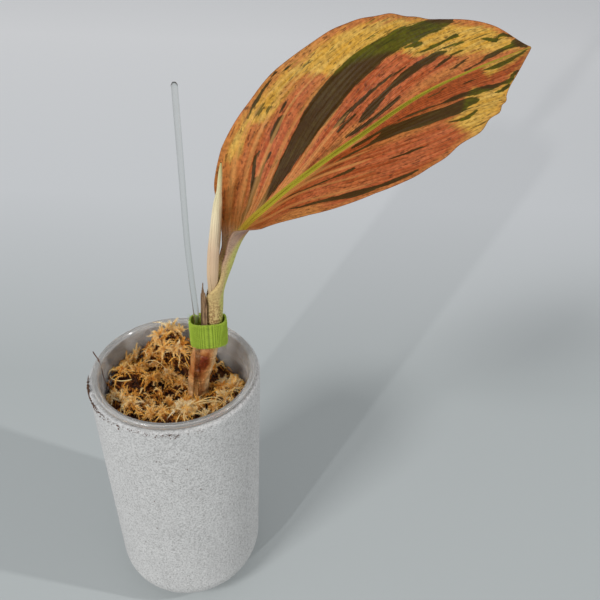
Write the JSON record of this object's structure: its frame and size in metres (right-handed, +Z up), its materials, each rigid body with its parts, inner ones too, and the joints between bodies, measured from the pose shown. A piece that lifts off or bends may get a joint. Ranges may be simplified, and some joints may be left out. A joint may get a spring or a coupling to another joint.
{
  "type": "potted plant",
  "caption": "Young peacock ginger with one large variegated leaf and a rolled new leaf, tied to a clear rod in a round pot with a moss-filled cup.",
  "frame": {"origin": "centre of the pot's foot, on the surface that it stands on", "axes": "+Z up along the pot's axis, +X the way the leaf reaches out, -Y the side that the leaf's upper face is turned to"},
  "size_m": [0.1803, 0.082, 0.3066],
  "materials": {
    "cast_stone": "matt, fine sandy stone",
    "clear_plastic": "clear, glossy, with dirt in it",
    "dried_moss": "matt, fibrous",
    "rhizome_skin": "satin skin",
    "dry_sheath_skin": "matt, papery",
    "variegated_leaf": "satin, ribbed",
    "pale_shoot": "satin",
    "clear_acrylic": "clear, glossy",
    "woven_hook_tape": "matt, finely ribbed"
  },
  "bodies": {
    "root": {"pot": "cast_stone", "inner_cup": "clear_plastic", "moss": "dried_moss", "pseudostem": "rhizome_skin", "dry_sheath": "dry_sheath_skin", "leaf": "variegated_leaf", "new_leaf_spear": "pale_shoot", "support_rod": "clear_acrylic", "tie": "woven_hook_tape"}
  },
  "joints": []
}
